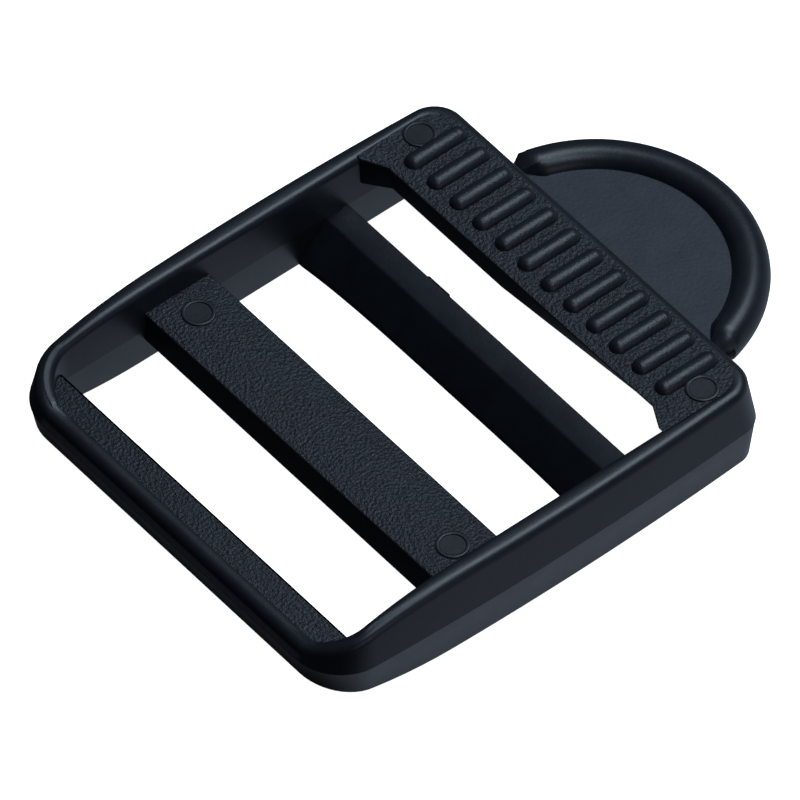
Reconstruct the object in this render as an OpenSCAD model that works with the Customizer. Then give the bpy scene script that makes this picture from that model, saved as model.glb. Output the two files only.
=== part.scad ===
// Strap adjuster, a ladder-lock buckle slider for 25 mm webbing, moulded in one piece.
// X runs along the bars, Y with the strap towards the thumb tab, Z is up.
// The origin is the middle of the plan, at the level that the buckle rests on.

/* [Webbing] */
// Width of the webbing that the buckle takes
webbing_w = 25; // [22:1:30]
// Side play of the webbing between the rails
webbing_play = 1; // [0.6:0.1:1.6]

/* [Frame] */
// Height of the side rails
frame_h = 6.0; // [5.7:0.1:6.6]
// Thickness of a rail at the parting line
rail_t = 1.85; // [1.6:0.05:2.2]
// Height of the parting line
parting_h = 2.9; // [2.7:0.05:3.1]
// Draft of the outer walls above and below the parting line, in degrees
outer_draft = 6; // [3:0.5:7]
// Draft of the inner walls above and below the parting line, in degrees
inner_draft = 3; // [2:0.5:4]
// Radius of the rails' outer top edges
edge_r = 0.5; // [0.4:0.1:0.7]
// Radius of the bow of the frame's sides
bow_r = 220; // [200:10:600]
// Corner radius of the frame at the end bar
end_corner_r = 4.0; // [3.5:0.1:5]
// Corner radius of the frame at the grip bar
grip_corner_r = 1.8; // [1.6:0.1:3.2]
// Length over which the rails slope down to the end bar
nose_l = 9; // [7:0.5:9]
// Height of the end bar's underside above the resting level
nose_lift = 1.4; // [1:0.1:1.7]

/* [Bars] */
// Width of the end bar, along the strap
end_bar_w = 2.8; // [2.4:0.1:3.2]
// Height of the end bar
end_bar_h = 2.2; // [2:0.1:2.5]
// Opening between the end bar and the flat bar
slot_1 = 6.25; // [5.5:0.05:8]
// Width of the flat bar
flat_bar_w = 4.8; // [3.8:0.1:5.5]
// Thickness of the flat bar
flat_bar_t = 2.3; // [2:0.1:2.8]
// Depth of the flat bar's top below the rails
flat_bar_drop = 1.8; // [1.5:0.1:2.4]
// Opening between the flat bar and the foot of the tension bar
slot_2 = 6.7; // [6:0.1:8.5]
// Width of the tension bar at its foot
tension_foot = 3.4; // [3:0.1:3.8]
// Width of the tension bar's top
tension_top = 1.5; // [1:0.1:1.8]
// Height of the tension bar
tension_h = 3.0; // [2.6:0.1:3.6]
// Fall of the tension bar's top towards its sloping front
tension_fall = 0.4; // [0:0.05:0.6]
// Opening between the tension bar and the grip bar
slot_3 = 2.1; // [1.8:0.1:2.8]
// Width of the grip bar
grip_bar_w = 5.9; // [5.4:0.1:6.4]
// Thickness of the grip bar
grip_bar_t = 2.0; // [1.8:0.1:2.4]
// Thickness of the wall under the grip bar's outer edge
rear_wall_t = 1.6; // [1.2:0.1:2]
// Size of the chamfers in the corners of the third opening, along the strap
web_c = 1.1; // [0.7:0.1:1.3]
// How far the relief under the grip bar reaches in at the +X rail
relief = 1.1; // [0.6:0.1:1.4]

/* [Grip ribs] */
// Number of ribs
rib_n = 12; // [8:1:12]
// Distance between ribs
rib_pitch = 2.0; // [1.7:0.05:2]
// Width of a rib
rib_w = 1.25; // [0.8:0.05:1.3]
// Length of a rib
rib_l = 4.4; // [3.6:0.1:4.6]
// Height of a rib above the grip bar
rib_h = 0.5; // [0.2:0.05:0.5]

/* [Thumb tab] */
// Radius of the bead's centre line round the tab
bead_ring_r = 8.7; // [7:0.1:10]
// Diameter of the bead
bead_d = 2.3; // [1.8:0.1:2.6]
// Gap between each end of the bead and the frame
bead_gap = 1.2; // [0.4:0.1:1.4]
// Thickness of the plate inside the bead
plate_t = 0.7; // [0.6:0.1:1.4]
// Distance from the frame's outer face back to the centre of the bead's ring
tab_set = 0.4; // [0:0.1:0.6]

/* [Moulding marks] */
// Outer diameter of an ejector mark
mark_d = 2.0; // [1.8:0.1:2.4]
// Width of an ejector mark's ring
mark_ring = 0.25; // [0.2:0.05:0.35]
// Height of an ejector mark's ring
mark_h = 0.1; // [0.06:0.02:0.16]
// Distance of the flat bar's marks from the middle
flat_mark_x = 11.2; // [9:0.1:11.6]
// Distance of the grip bar's marks from the middle
grip_mark_x = 12.4; // [12.2:0.1:12.5]
// Length of the gate's stub on the tension bar
stub_l = 1.9; // [1.2:0.1:2.4]
// How far the gate's stub stands out
stub_out = 0.15; // [0.1:0.05:0.4]
// Distance of the gate's stub from the middle, towards the left rail
stub_x = 5.0; // [3:0.5:8]

/* [Hidden] */
acetal = "#2b2f36";
smooth_acetal = "#30353b";
$fn = 64;

half_in = (webbing_w + webbing_play) / 2;
half_out = half_in + rail_t;
clear = 3;
outer_slope = tan(outer_draft);
inner_slope = tan(inner_draft);

// The bars and openings in order along the strap
frame_l = end_bar_w + slot_1 + flat_bar_w + slot_2 + tension_foot + slot_3 + grip_bar_w;
overall_l = frame_l - tab_set + bead_ring_r + bead_d / 2;
end_y = -overall_l / 2;
flat_y = end_y + end_bar_w + slot_1;
tension_y = flat_y + flat_bar_w + slot_2;
grip_y = tension_y + tension_foot + slot_3;
outer_y = grip_y + grip_bar_w;
tab_y = outer_y - tab_set;
bow_y = end_y + frame_l / 2;

end_bar_top = nose_lift + end_bar_h;
flat_bar_top = frame_h - flat_bar_drop;
flat_bar_z = flat_bar_top - flat_bar_t;
grip_bar_z = frame_h - grip_bar_t;
rib_set = 0.25;
rib_y = grip_y + grip_bar_w / 2 - rib_set;

// Points on an arc from angle a to angle b
function arc(x, y, r, a, b, n = 6) = [for (i = [0:n]) [x + r * cos(a + (b - a) * i / n), y + r * sin(a + (b - a) * i / n)]];

// A polygon in the Y-Z plane, drawn out along X over the length l about the middle
module along_x(l) {
    rotate([90, 0, 90])
        linear_extrude(height = l, center = true)
            children();
}

// A polygon in the X-Z plane, drawn out along Y over the frame's length
module along_y() {
    translate([0, outer_y + 1, 0])
        rotate([90, 0, 0])
            linear_extrude(height = frame_l + 2)
                children();
}

// Plan of the frame with its four rounded corners
module plan() {
    for (side = [-1, 1]) {
        translate([side * (half_out - end_corner_r), end_y + end_corner_r])
            circle(r = end_corner_r);
        translate([side * (half_out - grip_corner_r), outer_y - grip_corner_r])
            circle(r = grip_corner_r);
    }
    translate([-half_out + end_corner_r, end_y])
        square([2 * (half_out - end_corner_r), end_corner_r]);
    translate([-half_out, end_y + end_corner_r])
        square([2 * half_out, frame_l - end_corner_r - grip_corner_r]);
    translate([-half_out + grip_corner_r, outer_y - grip_corner_r])
        square([2 * (half_out - grip_corner_r), grip_corner_r]);
}

module plan_solid() {
    translate([0, 0, -1])
        linear_extrude(height = frame_h + 2)
            plan();
}

// Side view of the rails: level over the bars, then rounding down and lifting to the end bar
module side_view() {
    steps = 12;
    top_share = 1.17;
    top_l = top_share * nose_l;
    drop = frame_h - end_bar_top;
    top = [for (i = [0:steps]) let (a = 90 * i / steps)
        [end_y + top_l * (1 - sin(a)), end_bar_top + drop * cos(a)]];
    under = [for (i = [0:steps]) let (u = i / steps)
        [end_y + nose_l * u, nose_lift * pow(1 - u, 2)]];
    polygon(concat([[outer_y, 0], [outer_y, frame_h]], top, under));
}

// Outer half of a rail's section, drafted from the parting line, with a rounded top edge
module outer_section() {
    top_x = half_out - (frame_h - parting_h) * outer_slope;
    polygon(concat(
        [[half_in - clear, 0], [half_out - parting_h * outer_slope, 0], [half_out, parting_h]],
        arc(top_x - edge_r, frame_h - edge_r, edge_r, 0, 90),
        [[half_in - clear, frame_h]]));
}

// Inner half of a rail's section, narrowest between the rails at the parting line
module inner_section() {
    polygon([
        [half_in + parting_h * inner_slope, -1],
        [half_out + clear, -1],
        [half_out + clear, frame_h + 1],
        [half_in + (frame_h - parting_h) * inner_slope, frame_h + 1],
        [half_in, parting_h]]);
}

// Section of the space between the rails
module between_section() {
    w_low = half_in + parting_h * inner_slope;
    w_high = half_in + (frame_h - parting_h) * inner_slope;
    polygon([
        [-w_low, -1],
        [w_low, -1],
        [half_in, parting_h],
        [w_high, frame_h + 1],
        [-w_high, frame_h + 1],
        [-half_in, parting_h]]);
}

// One side rail, on the +X side
module rail() {
    sweep = 12;
    centre_x = bow_r - half_out;
    intersection() {
        translate([-centre_x, bow_y, 0])
            rotate([0, 0, -sweep / 2])
                rotate_extrude(angle = sweep, $fn = 720)
                    translate([centre_x, 0])
                        outer_section();
        along_y()
            inner_section();
        along_x(4 * half_out)
            side_view();
        plan_solid();
    }
}

module left_rail() {
    color(acetal)
        mirror([1, 0, 0])
            rail();
}

module right_rail() {
    color(acetal)
        rail();
}

// A bar's section drawn out between the rails' drafted inner walls
module bar() {
    intersection() {
        along_x(2 * half_out)
            children();
        along_y()
            between_section();
        plan_solid();
    }
}

module end_bar() {
    round_r = 0.5;
    color(acetal)
        bar()
            polygon(concat(
                [[end_y + end_bar_w, nose_lift], [end_y + end_bar_w, end_bar_top]],
                arc(end_y + round_r, end_bar_top - round_r, round_r, 90, 180),
                arc(end_y + round_r, nose_lift + round_r, round_r, 180, 270)));
}

module flat_bar() {
    round_r = 0.25;
    back_y = flat_y + flat_bar_w;
    color(acetal)
        bar()
            polygon(concat(
                [[flat_y, flat_bar_z], [back_y, flat_bar_z]],
                arc(back_y - round_r, flat_bar_top - round_r, round_r, 0, 90, 3),
                arc(flat_y + round_r, flat_bar_top - round_r, round_r, 90, 180, 3)));
}

module tension_bar() {
    front_lip = 0.4;
    back_lift = 0.5;
    back_set = 0.3;
    back_y = tension_y + tension_foot;
    color(acetal)
        bar()
            polygon([
                [tension_y, 0],
                [back_y - back_set, 0],
                [back_y, back_lift],
                [back_y, tension_h],
                [back_y - tension_top, tension_h - tension_fall],
                [tension_y, front_lip]]);
}

module grip_bar() {
    color(acetal)
        difference() {
            bar()
                polygon(concat(
                    [[grip_y, frame_h], [grip_y, grip_bar_z], [outer_y, grip_bar_z]],
                    arc(outer_y - edge_r, frame_h - edge_r, edge_r, 0, 90)));
            grip_relief();
        }
}

// Wedge that undercuts the grip bar's slot side, deeper towards the +X rail
module grip_relief() {
    start_x = -2;
    end_x = half_in + 0.5;
    polyhedron(
        points = [
            [start_x, grip_y, grip_bar_z],
            [end_x, grip_y + relief, grip_bar_z],
            [end_x, grip_y, frame_h],
            [end_x, grip_y - 1, grip_bar_z - 1]],
        faces = [[0, 1, 2], [0, 3, 1], [0, 2, 3], [2, 1, 3]]);
}

module rear_wall() {
    color(acetal)
        bar()
            translate([outer_y - rear_wall_t, 0])
                square([rear_wall_t, grip_bar_z]);
}

// Chamfers in the corners between the grip bar and the rails
module corner_webs() {
    web_x = 1.3 * web_c;
    color(acetal)
        intersection() {
            for (side = [-1, 1])
                translate([0, 0, grip_bar_z])
                    linear_extrude(height = grip_bar_t)
                        polygon([
                            [side * (half_in - web_x), grip_y],
                            [side * (half_in + 1), grip_y],
                            [side * (half_in + 1), grip_y - web_c],
                            [side * half_in, grip_y - web_c]]);
            along_y()
                between_section();
        }
}

// A rounded rib lying along Y: half of a capsule
module rib() {
    r = rib_w / 2;
    run = rib_l - rib_w;
    intersection() {
        translate([0, 0, frame_h + rib_h - r]) {
            rotate([90, 0, 0])
                cylinder(r = r, h = run, center = true);
            for (end = [-1, 1])
                translate([0, end * run / 2, 0])
                    sphere(r = r);
        }
        translate([-rib_w, -rib_l, frame_h])
            cube([2 * rib_w, 2 * rib_l, rib_w]);
    }
}

module grip_ribs() {
    color(acetal)
        for (i = [0:rib_n - 1])
            translate([(i - (rib_n - 1) / 2) * rib_pitch, rib_y, 0])
                rib();
}

// The space on the +Y side of the frame, from a gap away
module beyond_frame(gap = 0) {
    translate([-half_out, outer_y + gap, 0])
        cube([2 * half_out, bead_ring_r + bead_d, frame_h]);
}

module bead() {
    translate([0, tab_y, parting_h])
        rotate_extrude($fn = 128)
            translate([bead_ring_r, 0])
                circle(d = bead_d);
}

module tab_plate() {
    color(smooth_acetal)
        difference() {
            intersection() {
                translate([0, tab_y, parting_h - plate_t / 2])
                    cylinder(r = bead_ring_r, h = plate_t, $fn = 128);
                beyond_frame();
            }
            bead();
        }
}

module tab_bead() {
    color(acetal)
        intersection() {
            bead();
            beyond_frame(bead_gap);
        }
}

module mark(x, y, z) {
    translate([x, y, z])
        difference() {
            cylinder(d = mark_d, h = mark_h);
            translate([0, 0, -1])
                cylinder(d = mark_d - 2 * mark_ring, h = mark_h + 2);
        }
}

module ejector_marks() {
    color(acetal)
        for (side = [-1, 1]) {
            mark(side * flat_mark_x, flat_y + flat_bar_w / 2, flat_bar_top);
            mark(side * grip_mark_x, rib_y, frame_h);
        }
}

module gate_stub() {
    stub_h = 0.8;
    color(acetal)
        translate([-stub_x - stub_l / 2, tension_y + tension_foot, tension_h - stub_h])
            cube([stub_l, stub_out, stub_h]);
}

left_rail();
right_rail();
end_bar();
flat_bar();
tension_bar();
grip_bar();
rear_wall();
corner_webs();
grip_ribs();
tab_plate();
tab_bead();
ejector_marks();
gate_stub();
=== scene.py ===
import math

import bmesh
import bpy
from mathutils import Matrix, Vector


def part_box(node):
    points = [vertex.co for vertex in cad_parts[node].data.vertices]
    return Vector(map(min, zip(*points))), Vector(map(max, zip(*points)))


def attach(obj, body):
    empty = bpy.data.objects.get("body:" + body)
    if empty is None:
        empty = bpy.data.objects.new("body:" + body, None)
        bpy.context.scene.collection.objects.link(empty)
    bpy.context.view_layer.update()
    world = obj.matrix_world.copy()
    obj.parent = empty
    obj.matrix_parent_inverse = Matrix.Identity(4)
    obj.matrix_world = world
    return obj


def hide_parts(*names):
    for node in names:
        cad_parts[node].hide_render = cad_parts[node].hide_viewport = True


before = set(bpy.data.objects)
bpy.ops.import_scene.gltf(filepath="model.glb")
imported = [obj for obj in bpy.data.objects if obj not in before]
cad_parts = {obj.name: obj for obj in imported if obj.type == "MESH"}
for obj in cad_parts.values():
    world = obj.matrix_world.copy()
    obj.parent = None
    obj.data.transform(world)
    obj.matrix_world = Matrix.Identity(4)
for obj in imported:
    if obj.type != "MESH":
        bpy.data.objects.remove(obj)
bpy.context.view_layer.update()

MM = 0.001

# ---------------------------------------------------------------- sizes, in mm


def node_box(name):
    """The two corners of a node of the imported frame, in mm."""
    low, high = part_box(name)
    return low / MM, high / MM


rail_low, rail_high = node_box("right_rail")
end_low, end_high = node_box("end_bar")
flat_low, flat_high = node_box("flat_bar")
tension_low, tension_high = node_box("tension_bar")
grip_low, grip_high = node_box("grip_bar")
wall_low, wall_high = node_box("rear_wall")
rib_low, rib_high = node_box("grip_ribs")
plate_low, plate_high = node_box("tab_plate")
bead_high = node_box("tab_bead")[1]
stub_low, stub_high = node_box("gate_stub")

HALF_IN = rail_low.x
HALF_OUT = rail_high.x
TOP = rail_high.z
END_A = end_low.y
END_D = wall_high.y
PARTING = (plate_low.z + plate_high.z) / 2
END_TOP = end_high.z
NOSE_LIFT = end_low.z
# How far from the end bar's outer edge the rails' underside and top are level
NOSE_UNDER = 9.0
NOSE_TOP = 1.17 * NOSE_UNDER
# The frame's plan at the parting line: half its width where the bow starts, and its corners
STRAIGHT = 14.48
CORNER_A_R = 3.3
CORNER_D_R = 1.7
# The frame's walls: their draft, the parting line's step and the rounded edges
OUTER_SLOPE = math.tan(math.radians(6))
INNER_SLOPE = math.tan(math.radians(3))
PARTING_STEP = 0.03
EDGE_R = 0.55
INNER_EDGE_R = 0.45
LOWER_EDGE_R = 0.2
# The bars
PAD_PROUD = 0.12
MARK_R = 1.0
TENSION_TOP = 1.5
TENSION_FALL = 0.4
# The thumb tab
BEAD_R = 1.15
BEAD_RING_R = 8.7
TAB_Y = bead_high.y - BEAD_RING_R - BEAD_R

# ---------------------------------------------------------------- modelling helpers


def start(name, add, **settings):
    """Adds a primitive, sizes in mm, and opens it for editing with its place in its mesh."""
    bpy.ops.object.select_all(action="DESELECT")
    scaled = {}
    for key, value in settings.items():
        if key == "location":
            value = Vector(value) * MM
        elif key in ("radius", "depth", "size", "major_radius", "minor_radius"):
            value = value * MM
        scaled[key] = value
    add(**scaled)
    piece = bpy.context.active_object
    piece.name = name
    piece.data.name = name
    bpy.ops.object.transform_apply(location=True, rotation=True, scale=True)
    bpy.ops.object.mode_set(mode="EDIT")
    return piece


def choose(kind, where):
    """Selects only the corners, edges or faces whose middle, in mm, passes the test."""
    bpy.ops.mesh.select_mode(type=kind)
    bpy.ops.mesh.select_all(action="DESELECT")
    mesh = bpy.context.edit_object.data
    shape = bmesh.from_edit_mesh(mesh)
    shape.normal_update()
    for part in {"VERT": shape.verts, "EDGE": shape.edges, "FACE": shape.faces}[kind]:
        if kind == "VERT":
            middle = part.co / MM
        else:
            middle = sum((v.co for v in part.verts), Vector()) / len(part.verts) / MM
        if where(part, middle):
            part.select_set(True)
    shape.select_flush_mode()
    bmesh.update_edit_mesh(mesh)


def slide(x=0.0, y=0.0, z=0.0):
    """Moves what is selected, in mm."""
    bpy.ops.transform.translate(value=(x * MM, y * MM, z * MM))


def stretch(scale, about):
    """Scales what is selected about a point in mm."""
    bpy.ops.transform.resize(value=scale, center_override=Vector(about) * MM)


def cut(at, facing, clear_outer=False, clear_inner=False, fill=False):
    """Bisects the whole piece with a plane."""
    bpy.ops.mesh.select_mode(type="VERT")
    bpy.ops.mesh.select_all(action="SELECT")
    bpy.ops.mesh.bisect(plane_co=Vector(at) * MM, plane_no=facing, use_fill=fill,
                        clear_inner=clear_inner, clear_outer=clear_outer, threshold=1e-7)


def extrude(lift):
    """Extrudes what is selected along Z, in mm."""
    bpy.ops.mesh.extrude_region_move(TRANSFORM_OT_translate={"value": (0, 0, lift * MM)})


def length_x(edge):
    """How far an edge runs along X, in mm."""
    return abs(edge.verts[0].co.x - edge.verts[1].co.x) / MM


def round_edges(width, segments, where):
    """Bevels the edges that pass the test."""
    choose("EDGE", where)
    bpy.ops.mesh.bevel(offset=width * MM, segments=segments, affect="EDGES", profile=0.5,
                       clamp_overlap=True)


def close_up(piece, finish, slot_name, *nodes, angle=32):
    """Merges, turns the faces outward, shades and hands the piece to the frame."""
    bpy.ops.mesh.select_all(action="SELECT")
    bpy.ops.mesh.remove_doubles(threshold=1e-6)
    bpy.ops.mesh.select_all(action="SELECT")
    bpy.ops.mesh.normals_make_consistent(inside=False)
    bpy.ops.object.mode_set(mode="OBJECT")
    bpy.ops.object.shade_smooth_by_angle(angle=math.radians(angle))
    piece.data.materials.clear()
    for one in finish:
        piece.data.materials.append(one)
    if nodes:
        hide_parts(*nodes)
    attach(piece, "root")


def box_piece(name, low, high):
    """A block between two corners, in mm, open for shaping."""
    middle = (Vector(low) + Vector(high)) / 2
    side = Vector(high) - Vector(low)
    piece = start(name, bpy.ops.mesh.primitive_cube_add, size=1, location=(0, 0, 0))
    bpy.ops.mesh.select_all(action="SELECT")
    stretch(side, (0, 0, 0))
    slide(*middle)
    return piece


def copy_to(piece, name, step):
    """A copy of a finished piece, with its own mesh moved by a step in mm."""
    twin = piece.copy()
    twin.data = piece.data.copy()
    twin.name = twin.data.name = name
    bpy.context.scene.collection.objects.link(twin)
    twin.data.transform(Matrix.Translation(Vector(step) * MM))


def paint_faces(piece, index, where):
    """Gives the faces that pass the test another of the piece's finishes."""
    for face in piece.data.polygons:
        if where(face.normal, face.center / MM):
            face.material_index = index


# ---------------------------------------------------------------- finishes


def linear(hex_colour):
    """An sRGB hex colour as the linear values that a shader takes."""
    parts = [int(hex_colour[i:i + 2], 16) / 255 for i in (1, 3, 5)]
    return tuple(p / 12.92 if p <= 0.04045 else ((p + 0.055) / 1.055) ** 2.4 for p in parts) + (1.0,)


def add_node(material, kind, settings, links=None):
    """Adds one node, sets its options and sockets, and links it to nodes made before it."""
    made = material.node_tree.nodes.new(kind)
    for key, value in settings.items():
        if isinstance(key, int) or key in made.inputs:
            made.inputs[key].default_value = value
        else:
            setattr(made, key, value)
    for key, source in (links or {}).items():
        material.node_tree.links.new(source, made.inputs[key])
    return made


def new_finish(name):
    """An empty material."""
    material = bpy.data.materials.new(name)
    material.use_nodes = True
    material.node_tree.nodes.clear()
    return material


def moulded(name, dark, light, rough_low, rough_high, grain_mm, grain_depth_mm, wave_mm,
            wave_depth_mm):
    """Moulded black acetal: a mottled colour, uneven gloss, and two sizes of surface relief."""
    material = new_finish(name)
    place = add_node(material, "ShaderNodeTexCoord", {})
    at = place.outputs["Object"]
    mottle = add_node(material, "ShaderNodeTexNoise", {"Scale": 1 / (1.6 * MM), "Detail": 4.0,
                                                       "Roughness": 0.6}, {"Vector": at})
    colour = add_node(material, "ShaderNodeValToRGB", {}, {"Fac": mottle.outputs["Fac"]})
    colour.color_ramp.elements[0].position = 0.3
    colour.color_ramp.elements[0].color = linear(dark)
    colour.color_ramp.elements[1].position = 0.7
    colour.color_ramp.elements[1].color = linear(light)
    gloss = add_node(material, "ShaderNodeMapRange", {"To Min": rough_low, "To Max": rough_high},
                     {"Value": mottle.outputs["Fac"]})
    grain = add_node(material, "ShaderNodeTexNoise", {"Scale": 1 / (grain_mm * MM), "Detail": 2.0,
                                                      "Roughness": 0.5}, {"Vector": at})
    wave = add_node(material, "ShaderNodeTexNoise", {"Scale": 1 / (wave_mm * MM), "Detail": 1.0},
                    {"Vector": at})
    low = add_node(material, "ShaderNodeBump", {"Strength": 1.0, "Distance": wave_depth_mm * MM},
                   {"Height": wave.outputs["Fac"]})
    fine = add_node(material, "ShaderNodeBump", {"Strength": 1.0, "Distance": grain_depth_mm * MM},
                    {"Height": grain.outputs["Fac"], "Normal": low.outputs["Normal"]})
    skin = add_node(material, "ShaderNodeBsdfPrincipled",
                    {"IOR": 1.48, "Metallic": 0.0, "Specular IOR Level": 0.5},
                    {"Base Color": colour.outputs["Color"], "Roughness": gloss.outputs["Result"],
                     "Normal": fine.outputs["Normal"]})
    add_node(material, "ShaderNodeOutputMaterial", {}, {"Surface": skin.outputs["BSDF"]})
    return material


# Black acetal off a spark-eroded tool face: an even grain that breaks the light up. A real one
# is finer, too fine to show, so it is drawn this coarse.
spark_eroded_acetal = moulded("spark_eroded_acetal", "#13171e", "#191f27", 0.44, 0.56,
                              0.19, 0.140, 0.9, 0.008)
# Black acetal off a drawn and stoned tool face: satin, with a slight waviness.
satin_acetal = moulded("satin_acetal", "#12161c", "#171c23", 0.30, 0.42,
                       0.18, 0.006, 1.4, 0.010)
# Black acetal off the hand-cut grooves of the tool: satin, a little rougher than the walls.
ribbed_acetal = moulded("ribbed_acetal", "#12161c", "#171c23", 0.34, 0.46,
                        0.16, 0.025, 1.0, 0.010)
# Black acetal off a flat ground tool face: smoother still. Its colour is painted lighter than the other
# acetals' as an even painted sheen, so the tab plate shows lighter than the rest of the moulding.
smooth_acetal = moulded("smooth_acetal", "#252b33", "#2b3139", 0.36, 0.46,
                        0.25, 0.010, 2.2, 0.010)

# ---------------------------------------------------------------- the frame's rim


def outline(x, a, d, r_a, r_d, bowed):
    """One closed line round the frame: its half width, its two ends and its corner radii."""
    return {"x": x, "a": a, "d": d, "r_a": r_a, "r_d": r_d, "bowed": bowed}


def inset_of(line, inset):
    """The outline that lies this far inside another."""
    return outline(line["x"] - inset, line["a"] + inset, line["d"] - inset,
                   line["r_a"] - inset, line["r_d"] - inset, line["bowed"])


def zone_selected(rim, zone, sign):
    """Selects the part of the open rim that lies in one zone, on one side of the middle."""
    mesh = bpy.context.edit_object.data
    shape = bmesh.from_edit_mesh(mesh)
    shape.verts.ensure_lookup_table()
    layer = shape.verts.layers.deform.active
    group = bpy.context.edit_object.vertex_groups[zone].index
    bpy.ops.mesh.select_all(action="DESELECT")
    found = False
    for i in rim:
        v = shape.verts[i]
        if group in v[layer] and (sign == 0 or v.co.x * sign > 0):
            v.select_set(True)
            found = True
    bmesh.update_edit_mesh(mesh)
    return found


def rim_selected(rim):
    """Selects the corners of the rim."""
    mesh = bpy.context.edit_object.data
    shape = bmesh.from_edit_mesh(mesh)
    shape.verts.ensure_lookup_table()
    bpy.ops.mesh.select_all(action="DESELECT")
    for i in rim:
        shape.verts[i].select_set(True)
    shape.select_flush_mode()
    bmesh.update_edit_mesh(mesh)


def open_rim():
    """The corners that are selected, which are the open rim's after it is made or raised."""
    shape = bmesh.from_edit_mesh(bpy.context.edit_object.data)
    return [v.index for v in shape.verts if v.select]


def reshape(rim, old, new):
    """Moves the open rim from one outline to another, zone by zone."""
    for sign in (-1, 1):
        for r, end, corner, turn in (("r_a", "a", "corner_a", 1), ("r_d", "d", "corner_d", -1)):
            zone_selected(rim, corner, sign)
            centre = Vector((sign * (old["x"] - old[r]), old[end] + turn * old[r], 0))
            moved = Vector((sign * (new["x"] - new[r]), new[end] + turn * new[r], 0))
            size = new[r] / old[r]
            stretch((size, size, 1), centre)
            slide(*(moved - centre))
        zone_selected(rim, "side", sign)
        if old["bowed"] and not new["bowed"]:
            stretch((0, 1, 1), (sign * new["x"], 0, 0))
        else:
            slide(sign * (new["x"] - old["x"]))
        old_a, old_d = old["a"] + old["r_a"], old["d"] - old["r_d"]
        new_a, new_d = new["a"] + new["r_a"], new["d"] - new["r_d"]
        stretch((1, (new_d - new_a) / (old_d - old_a), 1), (0, old_a, 0))
        slide(0, new_a - old_a)
    for r, end, zone in (("r_a", "a", "end_a"), ("r_d", "d", "end_d")):
        if zone_selected(rim, zone, 0):
            stretch(((new["x"] - new[r]) / (old["x"] - old[r]), 1, 1), (0, 0, 0))
            slide(0, new[end] - old[end])


def raise_rim(old, new, lift):
    """Extrudes the open rim, lifts it, takes it to the next outline and gives that outline."""
    extrude(lift)
    rim = open_rim()
    reshape(rim, old, new)
    rim_selected(rim)
    return new


def by_rows(height):
    """Moves the open rim up or down row by row, by a height that depends on where the row lies."""
    rim = open_rim()
    shape = bmesh.from_edit_mesh(bpy.context.edit_object.data)
    shape.verts.ensure_lookup_table()
    rows = {}
    for i in rim:
        rows.setdefault(round(shape.verts[i].co.y / MM, 3), []).append(i)
    for y, row in sorted(rows.items()):
        if abs(height(y)) > 1e-5:
            rim_selected(row)
            slide(0, 0, height(y))
    rim_selected(rim)


def quarter_turn(steps):
    """The steps of a quarter turn, each by its first and last angle."""
    for step in range(steps):
        yield math.radians(90) * step / steps, math.radians(90) * (step + 1) / steps


def nose_drop(y):
    """How far the rails' top has come down at y, on its way to the end bar."""
    t = (y - END_A) / NOSE_TOP
    return 0 if t >= 1 else -(TOP - END_TOP) * (1 - math.sqrt(max(0, 1 - (1 - max(t, 0)) ** 2)))


def nose_rise(y):
    """How far the underside has come up at y, on its way to the end bar."""
    u = (y - END_A) / NOSE_UNDER
    return 0 if u >= 1 else NOSE_LIFT * (1 - max(u, 0)) ** 2


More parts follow.
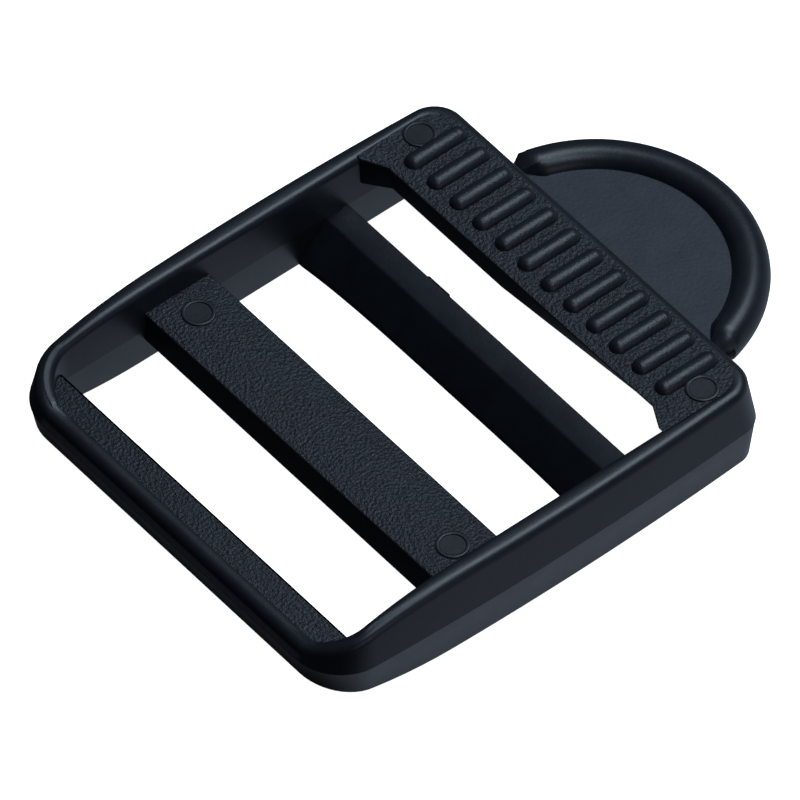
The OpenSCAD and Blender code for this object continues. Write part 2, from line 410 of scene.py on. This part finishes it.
def frame_rim():
    """The two rails, the rear wall and the outer edge of the end bar, one closed ring."""
    base = outline(STRAIGHT, END_A, END_D, CORNER_A_R, CORNER_D_R, True)
    piece = start("frame_rim", bpy.ops.mesh.primitive_plane_add, size=1, location=(0, 0, 0))
    bpy.ops.mesh.select_all(action="SELECT")
    stretch((2 * STRAIGHT, END_D - END_A, 1), (0, 0, 0))
    slide(0, (END_A + END_D) / 2, PARTING)
    for end, radius, steps in ((END_A, CORNER_A_R, 12), (END_D, CORNER_D_R, 10)):
        choose("VERT", lambda v, p: abs(p.y - end) < 0.01)
        bpy.ops.mesh.bevel(offset=radius * MM, segments=steps, affect="VERTICES", profile=0.5,
                           offset_type="OFFSET")
    bpy.ops.mesh.select_all(action="SELECT")
    bpy.ops.mesh.delete(type="ONLY_FACE")
    choose("EDGE", lambda e, p: abs(abs(p.x) - STRAIGHT) < 1e-3)
    bpy.ops.mesh.subdivide(number_cuts=23)
    choose("EDGE", lambda e, p: abs(p.y - END_A) < 1e-3 or abs(p.y - END_D) < 1e-3)
    bpy.ops.mesh.subdivide(number_cuts=13)

    start_a, start_d = END_A + CORNER_A_R, END_D - CORNER_D_R
    edge_a, edge_d = STRAIGHT - CORNER_A_R - 1e-3, STRAIGHT - CORNER_D_R - 1e-3
    zones = {
        "side": lambda v, p: start_a + 1e-3 < p.y < start_d - 1e-3,
        "corner_a": lambda v, p: p.y <= start_a + 1e-3 and abs(p.x) >= edge_a,
        "corner_d": lambda v, p: p.y >= start_d - 1e-3 and abs(p.x) >= edge_d,
        "end_a": lambda v, p: p.y < END_A + 1e-3 and abs(p.x) < edge_a,
        "end_d": lambda v, p: p.y > END_D - 1e-3 and abs(p.x) < edge_d,
    }
    for zone, test in zones.items():
        choose("VERT", test)
        bpy.ops.object.vertex_group_add()
        piece.vertex_groups.active.name = zone
        bpy.ops.object.vertex_group_assign()

    middle, reach = (start_a + start_d) / 2, (start_d - start_a) / 2
    bpy.ops.mesh.select_all(action="SELECT")
    rim = open_rim()
    shape = bmesh.from_edit_mesh(piece.data)
    shape.verts.ensure_lookup_table()
    rows = {}
    for i in rim:
        at = shape.verts[i].co / MM
        if start_a < at.y < start_d:
            rows.setdefault((round(at.y, 3), at.x > 0), []).append(i)
    for (y, right), row in sorted(rows.items()):
        rim_selected(row)
        bow = (HALF_OUT - STRAIGHT) * (1 - ((y - middle) / reach) ** 2)
        slide(bow if right else -bow)

    # Upward: the upper outer wall, the rounded outer edge and the ledge
    bpy.ops.mesh.select_all(action="SELECT")
    first = open_rim()
    line = raise_rim(base, inset_of(base, 0.006), 0.05)
    rise = TOP - EDGE_R - PARTING - 0.05
    extrude(rise)
    rim = open_rim()
    by_rows(nose_drop)
    after = dict(inset_of(line, rise * OUTER_SLOPE), r_d=1.95)
    reshape(rim, line, after)
    rim_selected(rim)
    line = after
    for old, new in quarter_turn(5):
        inset = EDGE_R * (1 - math.cos(new)) - EDGE_R * (1 - math.cos(old))
        line = raise_rim(line, inset_of(line, inset), EDGE_R * (math.sin(new) - math.sin(old)))
    top_x = HALF_IN + (TOP - PARTING) * INNER_SLOPE
    line = raise_rim(line, outline(top_x + INNER_EDGE_R, END_A + 1.0, wall_low.y + INNER_EDGE_R,
                                   2.1, 1.2, False), 0)
    for old, new in quarter_turn(4):
        after = inset_of(line, INNER_EDGE_R * (math.sin(new) - math.sin(old)))
        after["r_a"], after["r_d"] = line["r_a"], line["r_d"]
        line = raise_rim(line, after, -INNER_EDGE_R * (math.cos(old) - math.cos(new)))

    # Down the inner wall, past the parting line's small step, to the underside
    line = raise_rim(line, dict(line, x=HALF_IN), 0)
    stretch((1, 1, 0), (0, 0, PARTING))
    line = raise_rim(line, dict(line, x=HALF_IN + PARTING_STEP), -PARTING_STEP)
    drop = PARTING - PARTING_STEP - LOWER_EDGE_R
    line = raise_rim(line, dict(line, x=line["x"] + drop * INNER_SLOPE), -drop)
    by_rows(nose_rise)
    line = raise_rim(line, dict(line, x=line["x"] + 0.03), -0.13)
    raise_rim(line, dict(line, x=line["x"] + 0.07, a=line["a"] - 0.05), -0.07)
    inner_foot = open_rim()

    # Downward: the lower outer wall and the rounded lower edge
    rim_selected(first)
    line = raise_rim(base, inset_of(base, PARTING_STEP), -0.05)
    line = raise_rim(line, inset_of(line, drop * OUTER_SLOPE), -(drop - 0.02))
    by_rows(nose_rise)
    for old, new in quarter_turn(4):
        inset = LOWER_EDGE_R * (math.cos(old) - math.cos(new))
        line = raise_rim(line, inset_of(line, inset), -LOWER_EDGE_R * (math.sin(new) - math.sin(old)))
    shape = bmesh.from_edit_mesh(piece.data)
    shape.verts.ensure_lookup_table()
    for i in inner_foot:
        shape.verts[i].select_set(True)
    shape.select_flush_mode()
    bmesh.update_edit_mesh(piece.data)
    bpy.ops.mesh.select_mode(type="EDGE")
    bpy.ops.mesh.bridge_edge_loops()
    close_up(piece, [satin_acetal], "moulding", "left_rail", "right_rail", "rear_wall")
    piece.vertex_groups.clear()


# ---------------------------------------------------------------- the bars


def end_bar():
    """The end bar with its grained pad, rounded at both ends and standing a little proud."""
    reach = HALF_IN + 0.35
    piece = box_piece("end_bar", (-reach, END_A + 0.6, end_low.z + 0.02),
                      (reach, end_high.y, END_TOP - PAD_PROUD))
    round_edges(2.4, 10, lambda e, p: p.y < END_A + 0.65 and abs(abs(p.x) - reach) < 0.01
                and abs(p.z - (END_TOP + end_low.z) / 2) < 0.2)
    round_edges(0.3, 4, lambda e, p: p.z < end_low.z + 0.03 and p.y > end_high.y - 0.01)
    choose("FACE", lambda f, p: f.normal.z > 0.99)
    bpy.ops.mesh.inset(thickness=0.45 * MM)
    extrude(PAD_PROUD + 0.02)
    choose("VERT", lambda v, p: end_high.y - 0.5 < p.y < end_high.y - 0.4)
    slide(0, 0.43)
    round_edges(0.1, 3, lambda e, p: p.z > END_TOP)
    close_up(piece, [satin_acetal, spark_eroded_acetal], "moulding", "end_bar")
    paint_faces(piece, 1, lambda n, p: n.z > 0.9 and p.z > END_TOP)


def flat_bar():
    """The flat middle bar: crisp top edges and a softened underside."""
    reach = HALF_IN + 0.5
    piece = box_piece("flat_bar", (-reach, flat_low.y, flat_low.z),
                      (reach, flat_high.y, flat_high.z))
    round_edges(0.12, 3, lambda e, p: p.z > flat_high.z - 0.01 and abs(p.x) < 1)
    round_edges(0.15, 4, lambda e, p: p.z < flat_low.z + 0.01 and abs(p.x) < 1)
    close_up(piece, [satin_acetal, spark_eroded_acetal], "moulding", "flat_bar")
    paint_faces(piece, 1, lambda n, p: n.z > 0.9)


def tension_bar():
    """The tension bar: a sloping front up to a narrow top, hollowed a little along its foot."""
    reach = HALF_IN + 0.5
    top_front = tension_high.y - TENSION_TOP
    piece = box_piece("tension_bar", (-reach, tension_low.y, tension_low.z),
                      (reach, tension_high.y, tension_high.z))
    stations = [i * HALF_IN / 12 for i in range(-12, 13)]
    for x in stations:
        cut((x, 0, 0), (1, 0, 0))
    cut((0, 0, tension_low.z + 0.4), (0, 0, 1))
    choose("VERT", lambda v, p: p.z > tension_high.z - 0.01 and p.y < tension_low.y + 0.01)
    slide(0, top_front - tension_low.y, -TENSION_FALL)
    for x in stations:
        choose("VERT", lambda v, p: abs(p.x - x) < 0.01 and p.y < tension_low.y + 0.01)
        slide(0, 0.35 * (1 - (x / HALF_IN) ** 4))
    round_edges(0.3, 3, lambda e, p: p.z < 0.01 and p.y > tension_high.y - 0.01
                and length_x(e) > 0.1)
    round_edges(0.1, 3, lambda e, p: p.z > tension_high.z - TENSION_FALL - 0.01
                and length_x(e) > 0.1 and abs(e.verts[0].co.y - e.verts[1].co.y) < 1e-6)
    close_up(piece, [satin_acetal], "moulding", "tension_bar")


def grip_bar():
    """The grip bar's plate, chamfered in the corners of the third slot and relieved below."""
    reach, web, web_run, lean, relief = HALF_IN + 0.45, 1.1, 1.43, 0.35, 1.1
    front, back = grip_low.y - lean, END_D - 0.85
    piece = start("grip_bar", bpy.ops.mesh.primitive_plane_add, size=1, location=(0, 0, 0))
    bpy.ops.mesh.select_all(action="SELECT")
    stretch((2 * reach, back - front, 1), (0, 0, 0))
    slide(0, (back + front) / 2, TOP + 0.01)
    choose("VERT", lambda v, p: p.y > back - 0.01)
    bpy.ops.mesh.bevel(offset=1.8 * MM, segments=8, affect="VERTICES")
    choose("EDGE", lambda e, p: p.y < front + 0.01)
    bpy.ops.mesh.subdivide(number_cuts=15)
    shape = bmesh.from_edit_mesh(piece.data)
    xs = sorted(v.co.x / MM for v in shape.verts if v.co.y / MM < front + 0.01)
    inner = HALF_IN - web_run
    stations = [inner * (2 * i / 12 - 1) for i in range(13)]
    for old, new in zip(xs, [-reach, -HALF_IN] + stations + [HALF_IN, reach]):
        choose("VERT", lambda v, p: abs(p.x - old) < 1e-3 and p.y < front + 0.01)
        if abs(new) > inner + 0.01:
            slide(new - old, lean - web)
        else:
            slide(new - old)
    bpy.ops.mesh.select_all(action="SELECT")
    extrude(-(grip_high.z - grip_low.z))
    for x in stations + [HALF_IN]:
        choose("VERT", lambda v, p: abs(p.x - x) < 0.02 and p.z < TOP - 0.5
               and p.y < grip_low.y + 0.01)
        slide(0, lean * (abs(x) < inner + 0.01) + max(0, relief * (x + 2) / (HALF_IN + 2)))
    round_edges(0.15, 3, lambda e, p: p.z > TOP and p.y < grip_low.y + 0.01 and abs(p.x) < HALF_IN
                and length_x(e) > 0.01)
    close_up(piece, [satin_acetal, spark_eroded_acetal], "moulding", "grip_bar", "corner_webs")
    paint_faces(piece, 1, lambda n, p: n.z > 0.9)


def grip_ribs():
    """The row of ribs: one rib shaped from a ball drawn out along Y, then copied along the bar."""
    count, width, length, height = 12, 1.25, 4.4, rib_high.z - TOP
    foot = 2 * math.sqrt((width / 2) ** 2 - (width / 2 - height) ** 2)
    pitch = (rib_high.x - rib_low.x - foot) / (count - 1)
    middle = (rib_low.y + rib_high.y) / 2
    first = -(count - 1) / 2 * pitch
    piece = start("grip_rib_01", bpy.ops.mesh.primitive_uv_sphere_add, radius=width / 2, segments=20,
                  ring_count=13, location=(0, 0, 0), rotation=(math.pi / 2, 0, 0))
    for sign in (-1, 1):
        choose("VERT", lambda v, p: p.y * sign > 0)
        slide(0, sign * (length - width) / 2)
    bpy.ops.mesh.select_all(action="SELECT")
    slide(first, middle, TOP + height - width / 2)
    cut((0, 0, TOP - 0.08), (0, 0, 1), clear_inner=True, fill=True)
    close_up(piece, [ribbed_acetal], "moulding", "grip_ribs")
    for i in range(1, count):
        copy_to(piece, f"grip_rib_{i + 1:02d}", (i * pitch, 0, 0))


def ejector_marks():
    """The four ejector marks left by the pins: a disc inside a low ring, made once and copied."""
    flat_mid = (flat_low.y + flat_high.y) / 2
    rib_mid = (rib_low.y + rib_high.y) / 2
    places = [(-11.2, flat_mid, flat_high.z), (11.2, flat_mid, flat_high.z),
              (-12.4, rib_mid, TOP + 0.01), (12.4, rib_mid, TOP + 0.01)]
    x, y, z = places[0]
    piece = start("ejector_mark_1", bpy.ops.mesh.primitive_cylinder_add, radius=MARK_R, depth=0.4,
                  vertices=40, location=(x, y, z - 0.1))
    choose("FACE", lambda f, p: p.z > z + 0.05)
    bpy.ops.mesh.inset(thickness=0.25 * MM)
    extrude(-0.07)
    round_edges(0.06, 3, lambda e, p: p.z > z + 0.09)
    close_up(piece, [satin_acetal], "moulding", "ejector_marks")
    for i, (to_x, to_y, to_z) in enumerate(places[1:]):
        copy_to(piece, f"ejector_mark_{i + 2}", (to_x - x, to_y - y, to_z - z))


def gate_stub():
    """The rough stub of the trimmed gate, on the back of the tension bar."""
    piece = box_piece("gate_stub", stub_low - Vector((0, 0.3, 0)), stub_high - Vector((0, 0, 0.08)))
    round_edges(0.12, 3, lambda e, p: p.y > stub_low.y)
    bpy.ops.mesh.select_all(action="SELECT")
    bpy.ops.mesh.subdivide(number_cuts=3)
    choose("VERT", lambda v, p: p.y > stub_high.y - 0.01 or p.z > stub_high.z - 0.01)
    bpy.ops.transform.vertex_random(offset=0.02 * MM, uniform=1.0, normal=0.0, seed=3)
    close_up(piece, [satin_acetal], "moulding", "gate_stub")


# ---------------------------------------------------------------- the thumb tab


def tab_plate():
    """The tab's plate, smooth on both faces, its rim buried in the bead."""
    piece = start("tab_plate", bpy.ops.mesh.primitive_cylinder_add, radius=BEAD_RING_R - 0.4,
                  depth=plate_high.z - plate_low.z, vertices=128, location=(0, TAB_Y, PARTING))
    cut((0, END_D - 0.35, 0), (0, 1, 0), clear_inner=True, fill=True)
    # The plate takes the acetal whose lighter colour is a painted sheen.
    close_up(piece, [smooth_acetal], "tab_face", "tab_plate")


def tab_bead():
    """The round bead along the tab's edge, each end tapering down onto the frame's outer wall."""
    piece = start("tab_bead", bpy.ops.mesh.primitive_torus_add, major_radius=BEAD_RING_R,
                  minor_radius=BEAD_R, major_segments=144, minor_segments=28,
                  location=(0, TAB_Y, PARTING))
    cut((0, END_D - 0.1, 0), (0, 1, 0), clear_inner=True, fill=True)
    for sign in (-1, 1):
        for reach, size in ((1.7, 0.88), (1.35, 0.82), (1.0, 0.76), (0.6, 0.8)):
            choose("VERT", lambda v, p: p.y < END_D + reach and p.x * sign > 0)
            stretch((size, 1, size), (sign * BEAD_RING_R, 0, PARTING - 0.45))
    close_up(piece, [satin_acetal], "moulding", "tab_bead")


frame_rim()
end_bar()
flat_bar()
tension_bar()
grip_bar()
grip_ribs()
ejector_marks()
gate_stub()
tab_plate()
tab_bead()

# ---------------------------------------------------------------- studio


def studio_floor():
    """A plain white floor that gives off its own light, so that it stays even."""
    bpy.ops.object.select_all(action="DESELECT")
    bpy.ops.mesh.primitive_plane_add(size=6, location=(0, 0, -0.02 * MM))
    floor = bpy.context.active_object
    floor.name = "studio_floor"
    white = new_finish("white_floor")
    matt = add_node(white, "ShaderNodeBsdfPrincipled",
                    {"Base Color": linear("#f6f6f6"), "Roughness": 0.9,
                     "Emission Color": (1, 1, 1, 1), "Emission Strength": 1.0})
    add_node(white, "ShaderNodeOutputMaterial", {}, {"Surface": matt.outputs["BSDF"]})
    floor.data.materials.append(white)
    floor.visible_glossy = False
    floor.visible_diffuse = False


def softbox(name, direction, distance, width, height, power, colour):
    """An area light that faces the middle from a direction, sizes in m and power in W."""
    lamp = bpy.data.lights.new(name, "AREA")
    lamp.shape = "RECTANGLE"
    lamp.size, lamp.size_y = width, height
    lamp.energy = power
    lamp.color = linear(colour)[:3]
    box = bpy.data.objects.new(name, lamp)
    bpy.context.scene.collection.objects.link(box)
    toward = Vector(direction).normalized()
    box.location = toward * distance
    box.rotation_mode = "QUATERNION"
    box.rotation_quaternion = toward.to_track_quat("Z", "Y")


studio_floor()
softbox("overhead_softbox", (0.0, 0.42, 0.9), 0.6, 0.36, 0.36, 2.1, "#dcecfc")
softbox("edge_light", (0.45, 0.0, 0.89), 0.6, 0.2, 0.2, 0.6, "#dcecff")
softbox("side_fill", (0.9, -0.1, 0.25), 0.7, 0.5, 0.25, 0.35, "#eef3ff")


def surroundings():
    """A dim room: brighter low down on the tab's side, and a little from the ceiling."""
    world = bpy.data.worlds.new("studio")
    bpy.context.scene.world = world
    world.use_nodes = True
    sky = world.node_tree.nodes["Background"]
    sky.inputs["Color"].default_value = linear("#cddcf2")
    place = add_node(world, "ShaderNodeTexCoord", {})
    parts = []
    for toward, start_at, dim, bright in (((0.3, 0.7, -0.65), 0.35, 0.02, 0.55),
                                          ((-0.3, 0.35, 0.89), 0.0, 0.0, 0.12)):
        facing = add_node(world, "ShaderNodeVectorMath", {"operation": "DOT_PRODUCT", 1: toward},
                          {0: place.outputs["Generated"]})
        glow = add_node(world, "ShaderNodeMapRange",
                        {"interpolation_type": "SMOOTHSTEP", "From Min": start_at, "From Max": 1.0,
                         "To Min": dim, "To Max": bright}, {"Value": facing.outputs["Value"]})
        parts.append(glow.outputs["Result"])
    total = add_node(world, "ShaderNodeMath", {"operation": "ADD"}, {0: parts[0], 1: parts[1]})
    world.node_tree.links.new(total.outputs["Value"], sky.inputs["Strength"])


surroundings()

# The camera stands far off with a long lens, so that the view is nearly parallel
camera_data = bpy.data.cameras.new("camera")
camera = bpy.data.objects.new("camera", camera_data)
bpy.context.scene.collection.objects.link(camera)
bpy.context.scene.camera = camera
azimuth, elevation, roll = math.radians(49.65), math.radians(49.03), math.radians(0.69)
right = Vector((math.cos(azimuth), math.sin(azimuth), 0))
ahead = Vector((-math.sin(azimuth) * math.cos(elevation), math.cos(azimuth) * math.cos(elevation),
                -math.sin(elevation)))
up = right.cross(ahead)
right, up = (math.cos(roll) * right + math.sin(roll) * up, -math.sin(roll) * right + math.cos(roll) * up)
aim = Vector((0, 0.175, 3)) - 3.01 * right - 2.125 * up
camera.location = (aim - ahead * 1255) * MM
camera.rotation_mode = "QUATERNION"
turn = Matrix((right, up, -ahead)).transposed().to_4x4()
camera.matrix_world = Matrix.Translation(camera.location) @ turn
camera_data.sensor_width = 36
camera_data.lens = 999
camera_data.clip_start, camera_data.clip_end = 0.1, 10

bpy.context.scene.view_settings.view_transform = "Standard"
